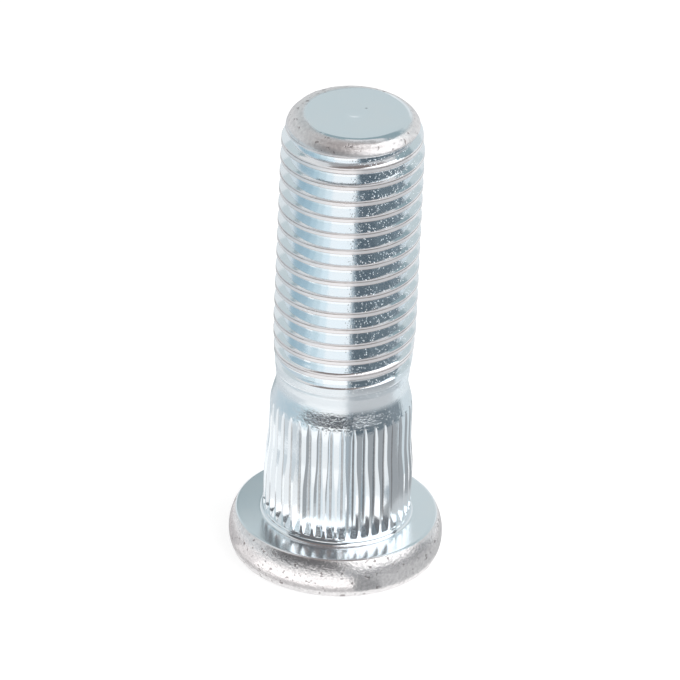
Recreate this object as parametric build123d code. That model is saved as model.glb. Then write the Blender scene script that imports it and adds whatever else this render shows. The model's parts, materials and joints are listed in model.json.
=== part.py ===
from build123d import *
from math import radians, sqrt, tan
import os

# Wheel stud, standing on its head: z = 0 is the outer face of the head and
# +Z runs along the axis to the tip. All sizes in millimetres. The threaded
# length is plain here, at the diameter over the crests.

overall_length = 41.2

# head
head_diameter = 17.77       # at the widest ring of the barrel side
head_thickness = 3.5
barrel_height = 1.6         # height of the widest ring above the outer face
barrel_radius = 3.7         # of the side in section
rim_round = 0.2             # edge round at the clamp face
foot_chamfer = 0.2          # at the outer face
collar_run = 0.25           # cone between clamp face and shank, across the face
collar_rise = 0.45          # the same cone, up the shank

# serrated shank
spline_count = 39
spline_diameter = 12.3      # over the crests
spline_depth = 0.35
spline_root_flat = 0.10
spline_angle = 90.0         # included angle of each groove
spline_turn = 1.4           # angle of the first crest from +X
spline_full_length = 4.9    # crests at full diameter, from the clamp face
spline_taper_length = 2.5   # crests falling to the land
spline_end_ramp = 1.2       # groove floor rising to the crests at the head end
spline_end_step = 0.08      # depth left in each groove where it ends
spline_end_dip = 0.08       # how far the groove ends bite into the collar
groove_overreach = 0.3      # how far each groove's cutter stands out past crests and land

# land, shoulder and neck above the splines
land_diameter = 11.82
land_length = 3.2
shoulder_length = 1.95
neck_diameter = 10.84
neck_round = 1.5

# threaded length
thread_major = 11.8
swell_diameter = 11.48      # where the run-out steepens towards the neck
swell_length = 2.65         # from the neck up
run_out_length = 2.5        # from the swell up to full thread

# tip
tip_flat_diameter = 8.4
tip_round_diameter = 10.84  # outside of the rounded edge
tip_round_height = 0.70
tip_round_bulge = 0.20      # how far the rounded edge stands proud of a straight chamfer
tip_lead_length = 1.85      # from the rounded edge to full thread

# heights along the axis
clamp_z = head_thickness
collar_z = clamp_z + collar_rise
taper_z = clamp_z + spline_full_length
land_z = taper_z + spline_taper_length
shoulder_z = land_z + land_length
neck_z = shoulder_z + shoulder_length
swell_z = neck_z + swell_length
thread_z = swell_z + run_out_length
round_z = overall_length - tip_round_height
lead_z = round_z - tip_lead_length

# radii
head_r = head_diameter / 2
barrel_r = head_r - barrel_radius
foot_r = barrel_r + sqrt(barrel_radius**2 - barrel_height**2)
rim_r = barrel_r + sqrt(barrel_radius**2 - (clamp_z - barrel_height) ** 2)
spline_r = spline_diameter / 2
land_r = land_diameter / 2
neck_r = neck_diameter / 2
swell_r = swell_diameter / 2
major_r = thread_major / 2
tip_r = tip_flat_diameter / 2
round_r = tip_round_diameter / 2

# half section of the stud before the splines are rolled in
with BuildPart() as blank:
    with BuildSketch(Plane.XZ) as section:
        with BuildLine():
            Line((0, 0), (foot_r, 0))
            ThreePointArc((foot_r, 0), (head_r, barrel_height), (rim_r, clamp_z))
            Polyline(
                (rim_r, clamp_z),
                (spline_r + collar_run, clamp_z),
                (spline_r, collar_z),
                (spline_r, taper_z),
                (land_r, land_z),
                (land_r, shoulder_z),
                (neck_r, neck_z),
                (swell_r, swell_z),
                (major_r, thread_z),
                (major_r, lead_z),
                (round_r, round_z),
            )
            SagittaArc((round_r, round_z), (tip_r, overall_length), -tip_round_bulge)
            Polyline((tip_r, overall_length), (0, overall_length), (0, 0))
        make_face()
        chamfer(vertices().sort_by_distance((foot_r, 0))[0], foot_chamfer)
        fillet(vertices().sort_by_distance((rim_r, clamp_z))[0], rim_round)
        fillet(vertices().sort_by_distance((neck_r, neck_z))[0], neck_round)
    revolve(axis=Axis.Z)

# one groove of the splines on the +X side: a V whose floor ramps out towards the collar
# and runs on straight until it leaves the shoulder
root_r = spline_r - spline_depth
outer_r = max(spline_r, land_r) + groove_overreach
near = spline_root_flat / 2
far = near + (outer_r - root_r) * tan(radians(spline_angle / 2))
ramp_z = collar_z + spline_end_ramp
end_z = collar_z - spline_end_dip
end_r = spline_r - spline_end_step
with BuildPart() as groove:
    with BuildSketch(Plane.XZ):
        with BuildLine():
            Polyline(
                (root_r, neck_z),
                (root_r, ramp_z),
                (end_r, end_z),
                (outer_r, end_z),
                (outer_r, neck_z),
                close=True,
            )
        make_face()
    extrude(amount=far, both=True)
    with BuildSketch(Plane.XY.offset(end_z)):
        with BuildLine():
            Polyline((root_r, -near), (root_r, near), (outer_r, far), (outer_r, -far), close=True)
        make_face()
    extrude(amount=neck_z - end_z, mode=Mode.INTERSECT)

# the first crest stands at the turn angle, the others every step from it, grooves half way between
step = 360 / spline_count
grooves = [groove.part.rotate(Axis.Z, spline_turn + step * (i + 0.5)) for i in range(spline_count)]
wheel_stud = blank.part.cut(*grooves)
wheel_stud.label = "wheel_stud"

os.makedirs("parts", exist_ok=True)
export_step(wheel_stud, "parts/wheel_stud.step")
print("wheel_stud", round(wheel_stud.volume, 2), wheel_stud.is_valid, wheel_stud.bounding_box().size)
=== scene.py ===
# %% [markdown]
# # A zinc-plated wheel stud
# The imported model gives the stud's frame, its mounts and its box. It is loaded first and never
# moved, and everything that follows ends up in the same frame, in metres.

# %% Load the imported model
import json
import math

import bmesh
import bpy
import numpy as np
from mathutils import Matrix, Vector


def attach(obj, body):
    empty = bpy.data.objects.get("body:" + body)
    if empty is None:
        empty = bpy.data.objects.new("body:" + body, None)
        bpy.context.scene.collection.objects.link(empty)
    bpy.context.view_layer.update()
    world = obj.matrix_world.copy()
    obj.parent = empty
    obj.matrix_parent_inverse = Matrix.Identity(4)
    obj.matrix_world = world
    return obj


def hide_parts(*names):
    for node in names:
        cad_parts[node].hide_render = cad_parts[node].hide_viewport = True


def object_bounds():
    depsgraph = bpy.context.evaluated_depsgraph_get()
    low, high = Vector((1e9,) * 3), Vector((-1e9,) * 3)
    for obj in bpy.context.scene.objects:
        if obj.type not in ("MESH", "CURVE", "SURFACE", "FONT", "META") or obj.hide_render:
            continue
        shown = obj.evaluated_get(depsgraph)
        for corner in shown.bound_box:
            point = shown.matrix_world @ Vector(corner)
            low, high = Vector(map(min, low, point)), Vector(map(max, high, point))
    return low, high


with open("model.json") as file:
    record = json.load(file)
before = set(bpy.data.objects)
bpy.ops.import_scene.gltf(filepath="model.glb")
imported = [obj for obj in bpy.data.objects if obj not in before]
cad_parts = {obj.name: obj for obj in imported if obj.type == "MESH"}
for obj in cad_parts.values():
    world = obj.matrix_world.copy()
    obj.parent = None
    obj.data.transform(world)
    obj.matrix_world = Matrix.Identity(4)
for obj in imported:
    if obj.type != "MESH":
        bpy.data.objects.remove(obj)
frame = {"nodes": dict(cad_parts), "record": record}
cad_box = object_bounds()
mounts = {mount["name"]: mount for mount in frame["record"]["mounts"]}
print("box", [tuple(corner) for corner in cad_box], "mounts", sorted(mounts))

# %% [markdown]
# ## Sizes
# The stud is a few centimetres long, and some of Blender's tools merge or round at a tenth of a
# millimetre. So the mesh is modelled with one unit to the millimetre, and made metres at the end.
# What the mounts state comes from them. The rest repeats the solid's own half section: radius
# and height of each corner, from the collar up to the rounded tip.

# %% Sizes of the stud, in millimetres
MM = 0.001
CLAMP_Z = mounts["clamp_face"]["pos_m"][2] / MM
SPLINE_R = mounts["serrated_shank"]["dims"]["r_mm"]
SPLINE_LENGTH = mounts["serrated_shank"]["dims"]["length_mm"]
SPLINE_Z = mounts["serrated_shank"]["pos_m"][2] / MM
COLLAR_Z = SPLINE_Z - SPLINE_LENGTH / 2
TAPER_Z = SPLINE_Z + SPLINE_LENGTH / 2
CREST_R = mounts["thread"]["dims"]["r_mm"]
LEAD_Z = mounts["thread"]["pos_m"][2] / MM
THREAD_Z = LEAD_Z - mounts["thread"]["dims"]["length_mm"]
TOP_Z = round(cad_box[1].z / MM, 2)

COLLAR_R = SPLINE_R + 0.25
LAND_R = 5.91
LAND_Z = TAPER_Z + 2.5
SHOULDER_Z = LAND_Z + 3.2
NECK_R = 5.42
NECK_Z = SHOULDER_Z + 1.95
SWELL_R = 5.74
SWELL_Z = NECK_Z + 2.65
TIP_R = 4.2
ROUND_R = 5.42
ROUND_Z = TOP_Z - 0.7
ROUND_BULGE = 0.2

chord = Vector((TIP_R - ROUND_R, TOP_Z - ROUND_Z))
round_radius = (chord.length**2 / 4 + ROUND_BULGE**2) / (2 * ROUND_BULGE)
outward = Vector((chord.y, -chord.x)).normalized()
round_middle = Vector((ROUND_R, ROUND_Z)) + chord / 2 - outward * (round_radius - ROUND_BULGE)
print("tip round", round(round_radius, 3), "about", tuple(round_middle))

# %% [markdown]
# ## The half section as a function
# Every turned form of the stud is a radius that depends on the height. One function gives that
# radius by running along the corners of the half section. Looking up and down a little and taking
# the mean rounds the corners off, as rolling does on the real stud. Only the corner where the collar
# meets the shank stays sharp.

# %% Radius of the stud at a height
SOFTEN = 0.45
tip_heights = np.linspace(ROUND_Z, round_middle.y + round_radius * 0.999, 24)
tip_radii = round_middle.x + np.sqrt(round_radius**2 - (tip_heights - round_middle.y) ** 2)
corners = [
    (CLAMP_Z, COLLAR_R),
    (COLLAR_Z, SPLINE_R),
    (TAPER_Z, SPLINE_R),
    (LAND_Z, LAND_R),
    (SHOULDER_Z, LAND_R),
    (NECK_Z, NECK_R),
    (SWELL_Z, SWELL_R),
    (THREAD_Z, CREST_R),
    (LEAD_Z, CREST_R),
    *zip(tip_heights, tip_radii),
]
corner_z, corner_r = zip(*corners)


def outline(z):
    """Radius of the half section at height z, with its corners softened."""
    near = np.minimum(SOFTEN, np.abs(np.asarray(z) - COLLAR_Z))
    steps = (-1, -0.5, 0, 0.5, 1)
    return sum(np.interp(z + step * near, corner_z, corner_r) for step in steps) / len(steps)


print("radius at the neck", outline(NECK_Z), "and at the land", outline(LAND_Z + 1))

# %% [markdown]
# ## Drawing and turning
# A few small tools do most of the modelling. One draws a line of vertices, by extruding a single
# vertex from point to point. One drags the selected ring of edges to a new radius and height, as a
# lathe hand would think of it. One turns a finished sheet down to a largest radius and fills it up
# to a smallest one, which is how a rolled thread runs out into plain metal.

# %% Tools for drawing and turning
SAME_HEIGHT = 1e-4


def clear_selection():
    """Object mode with nothing selected."""
    if bpy.context.object and bpy.context.object.mode != "OBJECT":
        bpy.ops.object.mode_set(mode="OBJECT")
    bpy.ops.object.select_all(action="DESELECT")


def draw_line(name, points):
    """A new piece that is one chain of vertices, left in edit mode with its last vertex selected."""
    clear_selection()
    bpy.ops.mesh.primitive_plane_add(size=1)
    piece = bpy.context.object
    piece.name = name
    bpy.ops.object.mode_set(mode="EDIT")
    bpy.ops.mesh.select_mode(type="VERT")
    bpy.ops.mesh.select_all(action="SELECT")
    bpy.ops.mesh.merge(type="CENTER")
    bpy.ops.transform.translate(value=points[0])
    for start, end in zip(points, points[1:]):
        step = tuple(b - a for a, b in zip(start, end))
        bpy.ops.mesh.extrude_vertices_move(TRANSFORM_OT_translate={"value": step})
    return piece


def apply_modifier(piece, kind, **settings):
    """Adds one modifier with these settings and applies it."""
    bpy.ops.object.mode_set(mode="OBJECT")
    modifier = piece.modifiers.new(kind.title(), kind)
    for key, value in settings.items():
        setattr(modifier, key, value)
    bpy.ops.object.modifier_apply(modifier=modifier.name)


def select_edges(piece, wanted):
    """Selects the edges whose middle, seen as (radius, height), is wanted. Leaves edit mode on."""
    bpy.ops.object.mode_set(mode="EDIT")
    bpy.ops.mesh.select_mode(type="EDGE")
    bpy.ops.mesh.select_all(action="DESELECT")
    bpy.ops.object.mode_set(mode="OBJECT")
    verts = piece.data.vertices
    count = 0
    for edge in piece.data.edges:
        middle = (verts[edge.vertices[0]].co + verts[edge.vertices[1]].co) / 2
        edge.select = wanted(middle.to_2d().length, middle.z)
        count += edge.select
    bpy.ops.object.mode_set(mode="EDIT")
    return count


def drag_ring(start, rings):
    """Extrudes the selected ring of edges from start through the (radius, height) rings."""
    for (r0, z0), (r1, z1) in zip([start, *rings], rings):
        bpy.ops.mesh.extrude_region_move(TRANSFORM_OT_translate={"value": (0, 0, z1 - z0)})
        bpy.ops.transform.resize(value=(r1 / r0, r1 / r0, 1), center_override=(0, 0, 0))


def points_of(piece):
    """The piece's vertices as rows of x, y and z."""
    co = np.empty(len(piece.data.vertices) * 3)
    piece.data.vertices.foreach_get("co", co)
    return co.reshape(-1, 3)


def turn_down(piece, limits):
    """Keeps each vertex's radius between the two that limits(height, angle) gives."""
    bpy.ops.object.mode_set(mode="OBJECT")
    co = points_of(piece)
    radius = np.hypot(co[:, 0], co[:, 1])
    smallest, largest = limits(co[:, 2], np.arctan2(co[:, 1], co[:, 0]))
    turned = np.clip(radius, smallest, largest)
    co[:, :2] *= (turned / radius)[:, None]
    piece.data.vertices.foreach_set("co", co.ravel())
    piece.data.update()
    return int(np.sum(np.abs(turned - radius) > 1e-6))


# %% [markdown]
# ## The thread
# On the real stud the thread is rolled between dies: a right-hand ridge with a narrow flat crest
# that keeps a faint seam where the metal closed up. Its section is drawn once, for one pitch, from
# root to root. It could be drawn for the whole length, but one pitch is enough to get right.

# %% Draw the thread's section
PITCH = 1.5
THREAD_PHASE = 0.287
FLANK = math.radians(30)
FLANK_CUTS = 4
CREST_FLAT = 0.46
CREST_EDGE_DROP = 0.02
CREST_BROW_DROP = 0.006
CREST_BROW_INSET = 0.05
ROOT_FLAT = 0.2
SEAM_DEPTH = 0.008
SEAM_HALF = 0.05
thread_depth = (PITCH - CREST_FLAT - ROOT_FLAT) / 2 / math.tan(FLANK)
root_r = CREST_R - thread_depth
first_crest = THREAD_PHASE + PITCH * math.floor((NECK_Z - 2 * PITCH) / PITCH)
half = [
    (root_r, PITCH / 2),
    (root_r, PITCH / 2 - ROOT_FLAT / 2),
    (CREST_R - CREST_EDGE_DROP, CREST_FLAT / 2 + CREST_EDGE_DROP * math.tan(FLANK)),
    (CREST_R - CREST_BROW_DROP, CREST_FLAT / 2 - CREST_BROW_INSET),
    (CREST_R, SEAM_HALF),
]
section = [(r, 0, first_crest - z) for r, z in half]
section += [(CREST_R - SEAM_DEPTH, 0, first_crest)]
section += [(r, 0, first_crest + z) for r, z in reversed(half)]
thread = draw_line("stud", section)
flank_middle = (root_r + CREST_R) / 2
flanks = select_edges(thread, lambda r, z: abs(r - flank_middle) < thread_depth / 4)
bpy.ops.mesh.subdivide(number_cuts=FLANK_CUTS)
print("section of", len(section), "points and", flanks, "flanks, root radius", round(root_r, 3))

# %% [markdown]
# ## Sweeping it up the stud
# An array stacks the section, and a screw sweeps the stack round once while it climbs one pitch. Each
# turn then ends where the next one starts, and the two are welded. A screw of many turns would make
# the same sheet, but its joint would be a long helix. Here it is one straight line.

# %% Sweep the thread
TURN_STEPS = 144
STACK_WELD = 0.001
SWEEP_WELD = 0.0005
turns = math.ceil((TOP_Z - first_crest) / PITCH) + 1
apply_modifier(
    thread, "ARRAY", count=turns, use_relative_offset=False, use_constant_offset=True,
    constant_offset_displace=(0, 0, PITCH), use_merge_vertices=True, merge_threshold=STACK_WELD,
)
apply_modifier(
    thread, "SCREW", axis="Z", angle=math.tau, screw_offset=PITCH, steps=TURN_STEPS,
    render_steps=TURN_STEPS, use_merge_vertices=False,
)
bpy.ops.object.mode_set(mode="EDIT")
bpy.ops.mesh.select_all(action="SELECT")
bpy.ops.mesh.remove_doubles(threshold=SWEEP_WELD)
bpy.ops.object.mode_set(mode="OBJECT")
print("thread sheet", turns, "turns,", len(thread.data.polygons), "faces")

# %% [markdown]
# ## Where the thread runs out
# At the bottom the dies lift off over two turns: the crests follow the swelling neck and the roots
# rise until nothing is left. At the tip the crests follow the lead cone and the rounded edge, and
# the groove leaves through it. Both are only limits on the radius, so one call shapes both ends.
# The sheet is then cut level at the neck and just under the tip.

# %% Run the thread out and cut it level
RUN_OUT_TOP = 20.4
RUN_OUT_BOTTOM = 17.1
RUN_OUT_POWER = 1.5
LEVEL_FROM = LEAD_Z - 4
LEVEL_FADE_IN = 2
LEVEL_TO = ROUND_Z - 0.2
LEVEL_FADE_OUT = 1.2
NECK_CUT = 16.4
TIP_CUT = TOP_Z - 0.25
CUT_EXACT = 1e-5


def thread_root(z):
    """Radius of the groove's floor, which rises into the neck."""
    rise = np.clip((RUN_OUT_TOP - z) / (RUN_OUT_TOP - RUN_OUT_BOTTOM), 0, 1) ** RUN_OUT_POWER
    return root_r + (outline(RUN_OUT_BOTTOM) - root_r) * rise


def crest_offset(z, angle):
    """How far above the nearest crest of the helix a point lies, in millimetres."""
    turn = (z - first_crest) / PITCH - angle / math.tau
    return (turn - np.round(turn)) * PITCH


def thread_limits(z, angle):
    """The crests keep a level top on the lead cone, and nothing stands out of the rounded edge."""
    fade_out = np.clip((LEVEL_TO - z) / LEVEL_FADE_OUT, 0, 1)
    level_top = fade_out * np.clip((z - LEVEL_FROM) / LEVEL_FADE_IN, 0, 1)
    top = outline(z - level_top * crest_offset(z, angle))
    return np.minimum(thread_root(z), top), top


moved = turn_down(thread, thread_limits)
bpy.ops.object.mode_set(mode="EDIT")
bpy.ops.mesh.select_all(action="SELECT")
bpy.ops.mesh.bisect(plane_co=(0, 0, NECK_CUT), plane_no=(0, 0, 1), clear_inner=True, threshold=CUT_EXACT)
bpy.ops.mesh.select_all(action="SELECT")
bpy.ops.mesh.bisect(plane_co=(0, 0, TIP_CUT), plane_no=(0, 0, 1), clear_outer=True, threshold=CUT_EXACT)
print("run-out moved", moved, "vertices")

# %% [markdown]
# ## The tip
# The top ring is dragged over the rounded edge onto the flat. The flat is sheared and pressed, not
# machined: it is very slightly dished and keeps a shallow dimple in the middle.

# %% Close the tip
DISH = 0.02
DISH_R = 2.4
DIMPLE_R = 0.75
DIMPLE_DEPTH = 0.03


def tip_point(angle):
    """Radius and height on the rounded edge, at an angle above level."""
    radius = round_middle.x + round_radius * math.cos(angle)
    return radius, round_middle.y + round_radius * math.sin(angle)


found = select_edges(thread, lambda r, z: abs(z - TIP_CUT) < SAME_HEIGHT)
first_angle = math.asin((TIP_CUT - round_middle.y) / round_radius)
angles = np.linspace(first_angle, math.pi / 2, 8)
start, *rings = [(r, min(z, TOP_Z)) for r, z in map(tip_point, angles)]
flat_z = rings[-1][1]
dish_z = flat_z - DISH
# over the edge of the flat, down the dish and into the dimple
rings += [
    (TIP_R - 0.12, flat_z - 0.004),
    (TIP_R - 0.5, flat_z - DISH * 0.5),
    (DISH_R, dish_z),
    (DIMPLE_R * 1.25, dish_z),
    (DIMPLE_R, dish_z - DIMPLE_DEPTH * 0.3),
    (DIMPLE_R * 0.6, dish_z - DIMPLE_DEPTH),
    (0.1, dish_z - DIMPLE_DEPTH),
]
drag_ring(start, rings)
bpy.ops.mesh.merge(type="CENTER")
print("tip ring of", found, "edges, top at", round(flat_z, 3))

# %% [markdown]
# ## The serrated shank
# The serrations are V grooves rolled along the shank, so that its crests bite into the hub. One
# tooth is drawn across the axis, from the middle of one groove to the middle of the next, and copied
# round by a spin. Cutting grooves with a boolean would work too, but leaves long thin faces.

# %% Draw the teeth
TEETH = 39
TEETH_TURN = math.radians(1.4)
LEAN = math.radians(0.2626)
LEAN_Z = 8.985
SPLINE_DEPTH = 0.35
SPLINE_ROOT_FLAT = 0.1
RAMP_Z = COLLAR_Z + 1.15
END_Z = COLLAR_Z - 0.08
spline_root = SPLINE_R - SPLINE_DEPTH
half_step = math.pi / TEETH
root_angle = half_step - SPLINE_ROOT_FLAT / 2 / spline_root
crest_angle = half_step - math.asin((SPLINE_ROOT_FLAT / 2 + SPLINE_DEPTH) / SPLINE_R)
tooth = [(spline_root, -half_step), (spline_root, -root_angle), (SPLINE_R, -crest_angle)]
tooth += [(SPLINE_R, 0)] + [(r, -a) for r, a in reversed(tooth)]
tooth = [(r, a + TEETH_TURN - LEAN * (END_Z - LEAN_Z)) for r, a in tooth]
sleeve = draw_line("sleeve", [(r * math.cos(a), r * math.sin(a), END_Z) for r, a in tooth])
wall_middle = (spline_root + SPLINE_R) / 2
walls = select_edges(sleeve, lambda r, z: abs(r - wall_middle) < SPLINE_DEPTH / 4)
bpy.ops.mesh.subdivide(number_cuts=1)
bpy.ops.mesh.select_all(action="SELECT")
bpy.ops.mesh.spin(steps=TEETH, dupli=True, angle=math.tau, center=(0, 0, 0), axis=(0, 0, 1))
bpy.ops.mesh.select_all(action="SELECT")
bpy.ops.mesh.remove_doubles(threshold=STACK_WELD)
print("ring of", TEETH, "teeth, each with", walls, "walls")

# %% [markdown]
# ## Rows up the shank
# The ring of teeth is dragged up to the neck in rows. They lie close together where the section
# changes quickly, at the ramps and at the points on the shoulder, and further apart where it is
# straight. Each row turns a little, because the real serrations lean.

# %% Drag the teeth up
POINT_Z = SHOULDER_Z + 0.8
SLEEVE_TOP = NECK_CUT - 0.25


def steps_between(low, high, count):
    """This many even steps up from low, ending at high."""
    return np.linspace(low, high, count + 1)[1:]


rows = sorted([
    END_Z + 0.02,
    COLLAR_Z,
    *steps_between(COLLAR_Z, RAMP_Z + 0.1, 12),
    *steps_between(RAMP_Z, TAPER_Z, 5),
    *steps_between(TAPER_Z, LAND_Z, 8),
    *steps_between(LAND_Z, SHOULDER_Z, 4),
    *steps_between(SHOULDER_Z, POINT_Z, 14),
    *steps_between(POINT_Z, SLEEVE_TOP, 8),
])
bpy.ops.mesh.select_all(action="SELECT")
for low, high in zip([END_Z, *rows], rows):
    bpy.ops.mesh.extrude_region_move(TRANSFORM_OT_translate={"value": (0, 0, high - low)})
    bpy.ops.transform.rotate(value=LEAN * (high - low), orient_axis="Z", center_override=(0, 0, 0))
bpy.ops.object.mode_set(mode="OBJECT")
print("sleeve of", len(rows), "rows,", len(sleeve.data.polygons), "faces")

# %% [markdown]
# ## Rolling the teeth
# Every tooth has the same section, but its top and its floor change with the height: the crests
# taper, the grooves start in points on the shoulder, dip a little over the land and end in ramps
# above the collar, between small rounded lobes. So each vertex is moved to its place in the section
# that belongs to its height. The walls of the groove stand at 45 degrees to its middle.

# %% Roll the teeth
END_STEP = 0.03
LOBE_LENGTH = 0.6
LOBE_NARROW = 0.35
LOBE_DROP = 0.07
LAND_DIP = 0.09
DIP_END = SHOULDER_Z + 0.4
DIP_FADE = 0.8
SHALLOW = 0.05
above_end = END_Z + 0.01


def groove_root(z):
    """Radius of the groove's floor, which dips where the land is rolled."""
    dip = np.clip((z - TAPER_Z) / (LAND_Z - TAPER_Z), 0, 1) * np.clip((DIP_END - z) / DIP_FADE, 0, 1)
    return spline_root - LAND_DIP * dip


def groove_floor(z):
    """Smallest radius on the shank: the collar, then the ramp at each groove's end and its floor."""
    up_ramp = np.clip((RAMP_Z - z) / (RAMP_Z - COLLAR_Z), 0, 1)
    ramp = groove_root(z) + (SPLINE_R - END_STEP - spline_root) * up_ramp
    return np.where(z > above_end, ramp, outline(END_Z))


def lobe(z):
    """0 on the straight teeth, growing to 1 at the collar, where they end in rounded lobes."""
    return np.clip((COLLAR_Z + LOBE_LENGTH - z) / LOBE_LENGTH, 0, 1)


def tooth_tops(z):
    """Largest radius on the shank."""
    return outline(z) - np.where(z > above_end, LOBE_DROP * lobe(z) ** 3, 0)


def roll_teeth(piece):
    """Moves each vertex to its place in the tooth's section at its height."""
    co = points_of(piece)
    z = co[:, 2]
    radius = np.hypot(co[:, 0], co[:, 1])
    middle = TEETH_TURN - LEAN * (z - LEAN_Z)
    turn = (np.arctan2(co[:, 1], co[:, 0]) - middle) / (2 * half_step)
    across = (turn - np.round(turn)) * 2 * half_step
    top = tooth_tops(z)
    floor = np.minimum(groove_floor(z), top)
    share = np.clip((radius - spline_root) / SPLINE_DEPTH, 0, 1)
    rolled = floor + share * (top - floor)
    narrowing = 1 - LOBE_NARROW * lobe(z)
    half_width = SPLINE_ROOT_FLAT / 2 + np.maximum(rolled - groove_root(z), 0) * narrowing
    wall = half_step - np.arcsin(half_width / rolled)
    # the middles of crest and groove stay put, and so do walls that are too shallow to stand
    on_wall = (np.abs(across) > half_step / 20) & (np.abs(across) < half_step * 0.999)
    cut = np.clip((top - floor) / SHALLOW, 0, 1)
    placed = np.where(on_wall, np.sign(across) * (cut * wall + (1 - cut) * np.abs(across)), across)
    angle = np.round(turn) * 2 * half_step + middle + placed
    moved = np.stack((rolled * np.cos(angle), rolled * np.sin(angle), z), axis=1)
    piece.data.vertices.foreach_set("co", moved.ravel())
    piece.data.update()
    return float(np.max(np.abs(rolled - radius)))


print("teeth rolled by up to", round(roll_teeth(sleeve), 3), "mm")

# %% [markdown]
# ## The head
# The head is upset cold, so its side swells into a barrel between two flat die faces. The lowest
# ring of the shank is dragged down the collar, out over the clamp face, round the barrel and in
# under the outer face. The two edges are then bevelled: softly at the clamp face, and plainly at
# the foot.

# %% Drag out the head
HEAD_R = 8.884
BARREL_Z = 1.6
BARREL_RADIUS = 3.7
RIM_ROUND = 0.113
FOOT_CHAMFER = 0.2
CLAMP_RING_R = 7.3
FACE_RINGS = (6.0, 3.0, 0.2)
barrel_middle = HEAD_R - BARREL_RADIUS
top_angle = math.asin((CLAMP_Z - BARREL_Z) / BARREL_RADIUS)
foot_angle = math.asin(-BARREL_Z / BARREL_RADIUS)
barrel = [
    (barrel_middle + BARREL_RADIUS * math.cos(a), BARREL_Z + BARREL_RADIUS * math.sin(a))
    for a in np.linspace(top_angle, foot_angle, 15)
]
rim, foot = barrel[0], barrel[-1]
collar_run = COLLAR_R - SPLINE_R
collar_rise = COLLAR_Z - CLAMP_Z
collar = [
    (SPLINE_R + collar_run * (1 - math.cos(t)), COLLAR_Z - collar_rise * math.sin(t))
    for t in np.linspace(0.25, math.pi / 2, 9)
]
rings = [*collar, (COLLAR_R + 0.1, CLAMP_Z), (CLAMP_RING_R, CLAMP_Z), (rim[0] - 0.25, CLAMP_Z)]
rings += [*barrel, (foot[0] - 0.3, 0), *((r, 0) for r in FACE_RINGS)]
select_edges(sleeve, lambda r, z: abs(z - END_Z) < SAME_HEIGHT)
drag_ring((float(outline(END_Z)), END_Z), rings)
bpy.ops.mesh.merge(type="CENTER")
for (ring_r, ring_z), width, segments in ((rim, RIM_ROUND, 4), (foot, FOOT_CHAMFER, 2)):
    select_edges(sleeve, lambda r, z: abs(r - ring_r) < 0.01 and abs(z - ring_z) < SAME_HEIGHT)
    bpy.ops.mesh.bevel(offset=width, segments=segments, affect="EDGES", clamp_overlap=False)
bpy.ops.object.mode_set(mode="OBJECT")
print("head", round(rim[0], 3), "at the clamp face,", round(foot[0], 3), "at the foot")

# %% [markdown]
# ## One piece
# The stud is forged from one slug, so thread and shank become one mesh. Their open rings at the neck
# have different numbers of vertices, so the strip between them is stitched with triangles, always
# stepping on the ring that lags behind. The normals are then set outwards.

# %% Join and stitch
clear_selection()
sleeve.select_set(True)
thread.select_set(True)
bpy.context.view_layer.objects.active = thread
bpy.ops.object.join()
stud = thread
stud.name = stud.data.name = "plated_stud"


def open_ring(mesh, height):
    """The (angle, vertex) pairs of the open ring at this height, once round and closed."""
    edges = [edge for edge in mesh.edges if edge.is_boundary]
    verts = {v for edge in edges for v in edge.verts if abs(v.co.z - height) < SAME_HEIGHT}
    ring = sorted(((math.atan2(v.co.y, v.co.x), v) for v in verts), key=lambda pair: pair[0])
    return [*ring, (ring[0][0] + math.tau, ring[0][1])]


def stitch_rings(piece, low_z, high_z):
    """Closes the strip between two open rings with triangles, going round by angle."""
    mesh = bmesh.new()
    mesh.from_mesh(piece.data)
    low = open_ring(mesh, low_z)
    high = open_ring(mesh, high_z)
    i = j = 0
    while i < len(low) - 1 or j < len(high) - 1:
        step_low = j == len(high) - 1 or (i < len(low) - 1 and low[i + 1][0] <= high[j + 1][0])
        third = low[i + 1][1] if step_low else high[j + 1][1]
        mesh.faces.new((low[i][1], third, high[j][1]))
        i, j = (i + 1, j) if step_low else (i, j + 1)
    mesh.to_mesh(piece.data)
    mesh.free()
    return len(low) - 1, len(high) - 1


stitched = stitch_rings(stud, SLEEVE_TOP, NECK_CUT)
bpy.ops.object.mode_set(mode="EDIT")
bpy.ops.mesh.select_all(action="SELECT")
bpy.ops.mesh.normals_make_consistent(inside=False)
bpy.ops.mesh.select_mode(type="VERT")
bpy.ops.mesh.select_all(action="DESELECT")
bpy.ops.mesh.select_non_manifold()
bpy.ops.object.mode_set(mode="OBJECT")
open_points = sum(point.select for point in stud.data.vertices)
print("stitched rings of", stitched, "vertices, open points", open_points)

# %% [markdown]
# ## Marks for the finish, and the real scale
# The finish will need to know where the crests of the thread are, and a helix is hard to find in
# shader sums. So each vertex carries two numbers: how deep it lies below the crest, and how far it
# lies above the crest's middle, along the axis. The finished mesh is then scaled to metres.

# %% Mark the crests and scale
SMOOTH_BELOW = math.radians(32)
co = points_of(stud)
offset = crest_offset(co[:, 2], np.arctan2(co[:, 1], co[:, 0]))
depth = outline(np.maximum(co[:, 2] - offset, SWELL_Z)) - np.hypot(co[:, 0], co[:, 1])
for name, values in (("depth", depth), ("across", offset)):
    stud.data.attributes.new(name, "FLOAT", "POINT").data.foreach_set("value", values)
stud.scale = (MM, MM, MM)
bpy.ops.object.transform_apply(location=True, rotation=True, scale=True)
bpy.ops.object.shade_smooth_by_angle(angle=SMOOTH_BELOW)
stud.data.calc_loop_triangles()
print("stud", len(stud.data.loop_triangles), "triangles")

# %% [markdown]
# ## Its place in the frame
# The mesh shows the whole stud, so it stands for the solid. It is fixed to the stud's only body, and
# it carries the solid's material slot.

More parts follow.
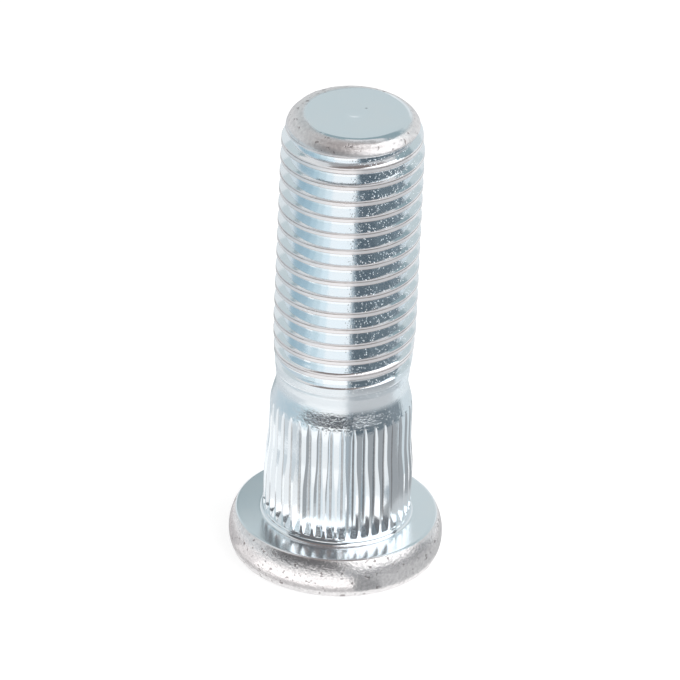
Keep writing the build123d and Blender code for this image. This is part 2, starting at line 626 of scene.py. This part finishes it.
# %% Hand the piece to the frame
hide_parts("wheel_stud")
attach(stud, "root")
print("piece", stud.name, "at", tuple(stud.location))


# %% [markdown]
# ## Shader sums in Python
# Node trees are easier to read as sums. A small class wraps an output socket, so that adding or
# multiplying two of them makes the Math node for it, and one method makes any other node.

# %% A socket that can be added and multiplied
class Wire:
    """An output socket of a node tree that takes part in Python sums."""

    def __init__(self, tree, socket=None):
        self.tree = tree
        self.socket = socket

    def node(self, kind, settings=None, output=0, **inputs):
        """Adds a node, sets its settings, then its inputs by name or by in0, in1 and so on."""
        made = self.tree.nodes.new(kind)
        for key, value in (settings or {}).items():
            setattr(made, key, value)
        for key, value in inputs.items():
            numbered = key[:2] == "in" and key[2:].isdigit()
            place = int(key[2:]) if numbered else key.replace("_", " ").title()
            if isinstance(value, Wire):
                self.tree.links.new(value.socket, made.inputs[place])
            else:
                made.inputs[place].default_value = value
        return Wire(self.tree, made.outputs[output]) if made.outputs else None

    def beside(self, output):
        """Another output of the node that this one comes from."""
        return Wire(self.tree, self.socket.node.outputs[output])

    def math(self, operation, a, b=0.0):
        return self.node("ShaderNodeMath", {"operation": operation}, in0=a, in1=b)

    def __add__(self, other):
        return self.math("ADD", self, other)

    __radd__ = __add__

    def __sub__(self, other):
        return self.math("SUBTRACT", self, other)

    def __rsub__(self, other):
        return self.math("SUBTRACT", other, self)

    def __mul__(self, other):
        return self.math("MULTIPLY", self, other)

    __rmul__ = __mul__

    def __truediv__(self, other):
        return self.math("DIVIDE", self, other)

    def ramp(self, low, high):
        """0 below low, 1 above high, smooth between; the other way round where high is lower."""
        ends = (0.0, 1.0) if low < high else (1.0, 0.0)
        return self.node("ShaderNodeMapRange", {"interpolation_type": "SMOOTHSTEP"}, in0=self,
                         in1=min(low, high), in2=max(low, high), in3=ends[0], in4=ends[1])

    def band(self, low, low_full, high_full, high):
        """1 between the two full values, fading to 0 at low and at high."""
        return self.ramp(low, low_full) * self.ramp(high, high_full)

    def mix(self, a, b):
        """Colour a where this is 0, colour b where it is 1."""
        return self.node("ShaderNodeMix", {"data_type": "RGBA"}, output=2, in0=self, in6=a, in7=b)


def new_tree(owner):
    """The empty node tree of a material or world."""
    owner.use_nodes = True
    owner.node_tree.nodes.clear()
    return Wire(owner.node_tree)


# %% [markdown]
# ## Coordinates and patterns
# The finish is laid out in Object coordinates, so it belongs to the stud and needs no unwrapping.
# Height and distance from the axis are turned into millimetres, and the marks on the thread are
# read back. Four noises of different fineness stand for grain, coarse grain, clouds and pits.

# %% Coordinates and patterns
zinc = bpy.data.materials.new("bright_zinc_plate")
tree = new_tree(zinc)
place = tree.node("ShaderNodeTexCoord", output=3)
x = tree.node("ShaderNodeSeparateXYZ", in0=place)
y = x.beside(1)
height = x.beside(2) / MM
depth = tree.node("ShaderNodeAttribute", {"attribute_name": "depth"}, output=2)
across = tree.node("ShaderNodeAttribute", {"attribute_name": "across"}, output=2)


def noise(scale, detail, roughness):
    """Noise over the stud, with its scale in waves to the metre."""
    return tree.node("ShaderNodeTexNoise", scale=scale, detail=detail, roughness=roughness, vector=place)


def distance_from(centre_x, centre_y):
    """Distance in millimetres from an upright line."""
    dx = x / MM - centre_x
    dy = y / MM - centre_y
    return tree.math("SQRT", dx * dx + dy * dy)


grain = noise(4200.0, 3.0, 0.6)
coarse = noise(3600.0, 3.0, 0.65)
cloud = noise(420.0, 3.0, 0.55)
pits = noise(2300.0, 2.0, 0.5)
radius = distance_from(0, 0)
print("patterns", len(zinc.node_tree.nodes), "nodes")

# %% [markdown]
# ## Where the finish changes
# The plate looks different on each form of the stud, because each was made another way: rolled,
# forged or sheared. A mask is 1 on its form and 0 elsewhere, with a short fade between. Most forms
# are bands of height, and some are also told apart by their distance from the axis. On the thread,
# the marks find the crests and their edges, where lines of painted shade and painted dark
# reflection are laid.

# %% Masks on the stud
# heights in millimetres where a form fades in, is full, is still full, and has faded out
HEIGHTS = {
    "clamp_face": (3.40, 3.46, 3.55, 3.62),
    "grooves": (5.4, 6.0, 13.8, 14.3),
    "shoulder": (13.6, 14.2, 15.6, 16.2),
    "neck": (15.5, 16.1, 17.4, 18.6),
    "screw": (16.2, 16.8, 40.0, 40.2),
    "full_thread": (18.3, 19.5, 40.0, 40.2),
}
FLAT_CENTRE = (0.3, -0.3)
FLAT_PIT = (0.95, 0.80)
zone = {name: height.band(*limits) for name, limits in HEIGHTS.items()}
on_rim = radius.ramp(8.2, 8.42) * height.ramp(3.46, 3.38)
on_clamp = radius.ramp(6.3, 6.5) * zone["clamp_face"]
on_tip = height.ramp(39.95, 40.25) * (distance_from(*FLAT_CENTRE) + cloud * 0.3).ramp(4.40, 4.75)
forged = tree.math("MAXIMUM", on_rim, on_tip)
groove_radius = radius + LAND_DIP * height.ramp(TAPER_Z, LAND_Z)
# the floors of the serration grooves, where painted shade is laid
in_groove = groove_radius.ramp(5.88, 5.80) * zone["grooves"]
on_crest = depth.ramp(0.030, 0.015) * zone["full_thread"]
# painted dark reflection along each crest's upper edge, and painted shade along its lower edge
upper_edge_reflection = across.band(0.04, 0.08, 0.13, 0.18)
lower_edge_shade = across.band(-0.29, -0.25, -0.20, -0.16)
crest_edge_shade_lines = (upper_edge_reflection + 0.55 * lower_edge_shade) * depth.ramp(0.06, 0.03) * zone["full_thread"]
flat_pit = distance_from(*FLAT_PIT).ramp(0.17, 0.05) * height.ramp(40.8, 41.0)
dark_pits = pits.ramp(0.38, 0.30) * forged
print("masks", len(zinc.node_tree.nodes), "nodes")

# %% [markdown]
# ## Bright zinc plate
# Electroplated zinc with a clear blue passivation is a bright, faintly blue metal. Its thin colours
# turn pink on the crests. Brown lines of painted shade and painted dark reflection run along the
# crests' edges, and the floors of the serration grooves are painted darker, as shade. Each
# colour is laid over the one before it, through its mask. Worn and grainy forms are also rougher.

# %% Colour and roughness
PLATE_BLUE = (0.86, 0.915, 0.95, 1)
PLATE_PALE = (0.89, 0.92, 0.94, 1)
CREST_PINK = (0.88, 0.865, 0.875, 1)
FORGED_GREY = (0.72, 0.705, 0.71, 1)
FORGED_PALE = (0.86, 0.845, 0.845, 1)
# painted shade and painted dark reflection: brown for the lines along the crest edges
CREST_SHADE_BROWN = (0.30, 0.26, 0.245, 1)
# painted shade: grey for the floors of the serration grooves
GROOVE_SHADE_GREY = (0.34, 0.33, 0.33, 1)
PIT_BROWN = (0.25, 0.22, 0.22, 1)
PIT_SLATE = (0.30, 0.33, 0.35, 1)
ROUGHER = ((forged, 0.15), (on_tip, 0.16), (on_crest, 0.15), (on_clamp, 0.10), (zone["neck"], 0.13))

# the crest-edge lines of painted shade and painted dark reflection, broken up by cloud and grain
crest_edge_shading = crest_edge_shade_lines * (0.55 + 0.45 * cloud.ramp(0.3, 0.6)) * (0.35 + 0.9 * grain)
colour = (cloud.ramp(0.35, 0.7) * 0.5).mix(PLATE_BLUE, PLATE_PALE)
colour = on_crest.mix(colour, CREST_PINK)
colour = forged.mix(colour, coarse.ramp(0.3, 0.7).mix(FORGED_GREY, FORGED_PALE))
colour = crest_edge_shading.mix(colour, CREST_SHADE_BROWN)
# painted shade laid in the serration grooves, broken up by grain
colour = (in_groove * (0.35 + 0.5 * grain)).mix(colour, GROOVE_SHADE_GREY)
colour = (dark_pits * 0.75).mix(colour, PIT_BROWN)
colour = (flat_pit * 0.5).mix(colour, PIT_SLATE)
roughness = 0.09 + 0.05 * cloud
for mask, amount in ROUGHER:
    roughness = roughness + amount * mask
metallic = 1.0 - 0.45 * on_crest - 0.3 * zone["neck"] - 0.1 * on_tip
print("colour and roughness", len(zinc.node_tree.nodes), "nodes")

# %% [markdown]
# ## Grain and specks
# Forged skin is grainy, and fine specks of zinc stand on the shoulder and on one side of the thread.
# They are far too small to model, so a bump carries them. Each cell of a Voronoi pattern has a chance
# colour, and only the cells with a high one get a speck.

# %% Bump and shader
SPECKS = 5600.0
BUMP_DISTANCE = 0.00002
nubs = tree.node("ShaderNodeTexVoronoi", scale=SPECKS, vector=place)
chance = nubs.beside("Color")
# x and y are in metres
right_side = x.ramp(-0.0005, 0.001) * (1.0 - 0.6 * y.ramp(-0.003, 0.000))
left_side = x.ramp(0.001, -0.001)
thread_dust = chance.ramp(0.59, 0.67) * zone["screw"] * (0.06 + 0.94 * right_side)
shoulder_dust = chance.ramp(0.42, 0.50) * zone["shoulder"] * (0.45 + 0.45 * left_side)
dust = nubs.ramp(0.40, 0.08) * (thread_dust + shoulder_dust)
fine = grain * (0.12 + 0.3 * on_crest + 0.9 * zone["shoulder"] + 0.7 * forged)
rough = coarse * (1.7 * on_rim + 1.4 * on_tip)
bump_height = fine + rough + dust * 0.95 - dark_pits * 0.8
bump = tree.node("ShaderNodeBump", strength=1.0, distance=BUMP_DISTANCE, height=bump_height)
shader = tree.node("ShaderNodeBsdfPrincipled", base_color=colour, metallic=metallic,
                   roughness=roughness, normal=bump)
tree.node("ShaderNodeOutputMaterial", surface=shader)
stud.data.materials.clear()
stud.data.materials.append(zinc)
frame["nodes"]["wheel_stud"].data.materials[0] = zinc
print("material", zinc.name, len(zinc.node_tree.nodes), "nodes")

# %% [markdown]
# ## The floor
# The photograph has a plain white ground. The camera, and the metal that it looks into, see the
# floor as white paper: most of it glows evenly and the rest takes the light, so that the stud keeps
# a faint soft shadow. All other rays see plain pale paper, which adds no light of its own.

# %% Lay the floor
FLOOR_SIZE = 0.6
FLOOR_PARTS = 4
PAPER_GLOW = 0.70
PAPER_SHADED = (0.45, 0.45, 0.45, 1)
PAPER_PLAIN = (0.8, 0.8, 0.8, 1)
WHITE = (1, 1, 1, 1)
clear_selection()
bpy.ops.mesh.primitive_grid_add(x_subdivisions=FLOOR_PARTS, y_subdivisions=FLOOR_PARTS, size=FLOOR_SIZE)
floor = bpy.context.object
floor.name = "floor"


def seen_by_eye(tree):
    """1 for a ray from the camera, or one that reached here by way of metal or glass."""
    path = tree.node("ShaderNodeLightPath")
    mirrored = tree.math("MAXIMUM", path.beside("Is Glossy Ray"), path.beside("Is Transmission Ray"))
    return tree.math("MAXIMUM", path.beside("Is Camera Ray"), mirrored)


paper = bpy.data.materials.new("white_paper")
tree = new_tree(paper)
glow = tree.node("ShaderNodeEmission", color=WHITE, strength=PAPER_GLOW)
shaded = tree.node("ShaderNodeBsdfDiffuse", color=PAPER_SHADED)
shown = tree.node("ShaderNodeAddShader", in0=glow, in1=shaded)
plain = tree.node("ShaderNodeBsdfDiffuse", color=PAPER_PLAIN)
surface = tree.node("ShaderNodeMixShader", in0=seen_by_eye(tree), in1=plain, in2=shown)
tree.node("ShaderNodeOutputMaterial", surface=surface)
floor.data.materials.append(paper)
print("floor", FLOOR_SIZE, "m")

# %% [markdown]
# ## The room
# The room is one even colour: white to the eye and to the metal, and a plain soft grey light to
# everything else. The Standard view shows colours as they are written.

# %% Paint the room
ROOM_GREY = (0.65, 0.65, 0.65, 1)
world = bpy.data.worlds.new("studio")
bpy.context.scene.world = world
tree = new_tree(world)
backdrop = tree.node("ShaderNodeBackground", color=seen_by_eye(tree).mix(ROOM_GREY, WHITE), strength=1.0)
tree.node("ShaderNodeOutputWorld", surface=backdrop)
bpy.context.scene.view_settings.view_transform = "Standard"
print("room", world.name)

# %% [markdown]
# ## Cards round the stud
# Bright metal has little colour of its own: it shows what stands round it. So a photographer puts
# plain cards where the metal looks and the lens doesn't. Each card here is a line, drawn outwards
# along the floor or up the side of a tent, and spun part of the way round the stud. It glows in one
# flat colour, some brighter than white, and only the metal sees it: it casts no shadow and lights
# nothing. The cards are painted reflections, the light and dark that the metal shows.

# %% A card that only the metal sees
CARD_STEP = math.radians(5)


def set_card(name, line, first, last, colour):
    """Spins a line of (radius, height) in millimetres from one angle to another, in degrees."""
    a = math.radians(first)
    card = draw_line(name, [(r * math.sin(a) * MM, -r * math.cos(a) * MM, h * MM) for r, h in line])
    sweep = math.radians(last - first)
    turns = math.ceil(sweep / CARD_STEP)
    bpy.ops.mesh.select_all(action="SELECT")
    bpy.ops.mesh.spin(steps=turns, angle=-sweep, center=(0, 0, 0), axis=(0, 0, 1))
    bpy.ops.object.mode_set(mode="OBJECT")
    paint = bpy.data.materials.new(name)
    tree = new_tree(paint)
    # the card glows in its colour: a painted reflection that only the metal sees
    flat = tree.node("ShaderNodeEmission", color=(*colour, 1), strength=1.0)
    tree.node("ShaderNodeOutputMaterial", surface=flat)
    card.data.materials.append(paint)
    card.visible_camera = card.visible_diffuse = card.visible_shadow = False


# %% [markdown]
# ## Which card goes where
# Angles run from the front of the stud to the right. Glowing white cards lie in front and turn blue
# towards the left, dark glowing cards lie to the right, and a narrow ring round the head, glowing
# brighter than white in front, paints a highlight in its side. On the camera's side stand dim
# screens, behind the stud pale ones with a canopy over them, and a white card that paints a
# highlight. All are painted reflections. They were set one by one, by looking at which card each
# face mirrors.

# %% Set up the cards
FLOOR_LIFT = 0.3
# name: inner and outer radius, first and last angle, colour
FLOOR_CARDS = {
    "white_near": (15, 29, -60, 9, (0.93, 0.935, 0.94)),
    "white_neck": (29, 41, -60, 9, (1.1, 1.09, 1.085)),
    "white_far": (41, 110, -32, 9, (1.12, 1.10, 1.09)),
    "blue_tint_1": (41, 110, -45, -32, (0.90, 0.97, 1.0)),
    "blue_tint_2": (41, 110, -58, -45, (0.72, 0.82, 0.86)),
    "blue_tint_3": (55, 150, -70, -58, (0.56, 0.69, 0.75)),
    "blue_tint_4": (60, 150, -85, -70, (0.45, 0.58, 0.65)),
    "blue_left": (80, 200, -125, -85, (0.40, 0.53, 0.60)),
    "pale_left": (24, 41, -180, -60, (0.66, 0.70, 0.73)),
    "pale_shoulder": (41, 60, -85, -70, (0.62, 0.69, 0.74)),
    "pale_side": (41, 80, -125, -85, (0.58, 0.66, 0.71)),
    "pale_far": (150, 290, -85, -60, (0.66, 0.70, 0.73)),
    "pale_far_left": (200, 290, -125, -85, (0.66, 0.70, 0.73)),
    "pale_back": (41, 180, -180, -125, (0.70, 0.74, 0.77)),
    "pale_right": (20, 38, 97, 180, (0.68, 0.74, 0.77)),
    "pale_right_far": (38, 180, 108, 180, (0.68, 0.74, 0.77)),
    # painted highlight: the ring round the head glows brighter than white
    "rim_glow": (9.6, 15, -55, 12.5, (1.45, 1.42, 1.41)),
    "rim_glow_left": (9.6, 15, -78, -55, (0.95, 0.93, 0.93)),
    "rim_foot": (8.92, 9.6, -78, 12.5, (0.66, 0.65, 0.655)),
    "rim_left": (8.92, 15, -180, -78, (0.60, 0.59, 0.60)),
    "rim_right": (8.92, 15, 29, 180, (0.62, 0.63, 0.64)),
    "rim_dark": (8.92, 15, 12.5, 29, (0.38, 0.39, 0.40)),
    # painted dark reflections: dark glowing cards to the right of the stud
    "edge_cloth": (15, 290, 9, 14, (0.40, 0.45, 0.49)),
    "grey_cloth": (15, 38, 14, 97, (0.37, 0.38, 0.395)),
    "dark_cloth": (38, 290, 14, 45, (0.125, 0.155, 0.18)),
    "dark_cloth_2": (38, 290, 45, 80, (0.17, 0.205, 0.23)),
    "dark_cloth_3": (38, 290, 80, 108, (0.23, 0.27, 0.30)),
    "dark_front": (110, 290, -60, 9, (0.095, 0.105, 0.12)),
}
# name: line of (radius, height), first and last angle, colour
STANDING_CARDS = {
    "slate_back": ([(60, 0.6), (290, 0.6)], 163, 200, (0.32, 0.35, 0.37)),
    "grey_card": ([(18, 7), (18, 15)], 196, 222, (0.36, 0.42, 0.44)),
    "dim_screen": ([(800, -60), (800, 230)], -72, 99, (0.105, 0.11, 0.12)),
    "slate_screen": ([(800, 230), (640, 540)], -72, 99, (0.165, 0.165, 0.17)),
    "brown_screen": ([(640, 540), (275, 790), (1, 830)], -72, 99, (0.24, 0.195, 0.185)),
    "side_screen": ([(800, -60), (800, 380)], 99, 288, (0.80, 0.82, 0.83)),
    # painted highlight: a white glowing card behind the stud
    "window": ([(790, 230), (790, 375)], 174, 186, (1.0, 1.0, 1.0)),
    "canopy": ([(800, 380), (610, 600)], 99, 288, (0.60, 0.66, 0.675)),
    "canopy_top": ([(610, 600), (400, 720)], 99, 235, (0.30, 0.38, 0.41)),
    "canopy_left": ([(610, 600), (400, 720)], 235, 288, (0.80, 0.77, 0.76)),
    "canopy_ring": ([(400, 720), (280, 790)], 99, 288, (0.74, 0.72, 0.72)),
    "zenith": ([(280, 790), (1, 830)], 99, 288, (0.42, 0.40, 0.40)),
}
for name, (inner, outer, first, last, colour) in FLOOR_CARDS.items():
    set_card(name, [(inner, FLOOR_LIFT), (outer, FLOOR_LIFT)], first, last, colour)
for name, (line, first, last, colour) in STANDING_CARDS.items():
    set_card(name, line, first, last, colour)
print("cards", len(FLOOR_CARDS), "on the floor and", len(STANDING_CARDS), "above it")

# %% [markdown]
# ## The soft box
# One large soft lamp stands to the right of the camera and lights the stud and the floor. A lamp
# that is wider than it is far away gives a shadow without an edge. Its power is worked out from the
# brightness of its face, so that its size can change while its face stays as bright.

# %% Place the soft box
BOX_AROUND = math.radians(55)
BOX_HEIGHT = math.radians(35)
BOX_DISTANCE = 0.45
BOX_SIZE = (0.68, 0.58)
BOX_RADIANCE = 1.15
aim = Vector((
    math.sin(BOX_AROUND) * math.cos(BOX_HEIGHT),
    -math.cos(BOX_AROUND) * math.cos(BOX_HEIGHT),
    math.sin(BOX_HEIGHT),
))
bpy.ops.object.light_add(type="AREA", location=aim * BOX_DISTANCE)
soft_box = bpy.context.object
soft_box.name = "soft_box"
soft_box.rotation_euler = aim.to_track_quat("Z", "Y").to_euler()
soft_box.data.shape = "RECTANGLE"
soft_box.data.size, soft_box.data.size_y = BOX_SIZE
soft_box.data.energy = 4 * BOX_SIZE[0] * BOX_SIZE[1] * BOX_RADIANCE
soft_box.visible_camera = False
print("soft box", round(soft_box.data.energy, 2), "W at", tuple(soft_box.location))

# %% [markdown]
# ## The camera
# The photograph was taken from about 30 degrees up with a long lens, from far away, and the stud
# leans a little to the right in it. These values come from fitting a camera to the thread's crests
# and to the outline. The lens follows from its focal length in pixels of the square picture.

# %% Place the camera
PICTURE = 680
FOCAL_PIXELS = 10910.0
SENSOR = 36.0
DISTANCE = 899.6 * MM
ELEVATION = math.radians(30.42)
ROLL = math.radians(2.63)
TARGET = Vector((-0.33, 0, 19.65)) * MM
bpy.ops.object.camera_add()
camera = bpy.context.object
camera.name = "photo_camera"
back = Vector((0, -math.cos(ELEVATION), math.sin(ELEVATION)))
level_right = Vector((1, 0, 0))
level_up = Vector((0, math.sin(ELEVATION), math.cos(ELEVATION)))
right = level_right * math.cos(ROLL) + level_up * math.sin(ROLL)
up = level_up * math.cos(ROLL) - level_right * math.sin(ROLL)
turned = Matrix((right, up, back)).transposed().to_4x4()
camera.matrix_world = Matrix.Translation(TARGET + back * DISTANCE) @ turned
camera.data.sensor_width = SENSOR
camera.data.lens = SENSOR * FOCAL_PIXELS / PICTURE
camera.data.clip_start = 0.01
camera.data.clip_end = 10.0
bpy.context.scene.camera = camera
print("camera", tuple(camera.location), "lens", round(camera.data.lens, 1))
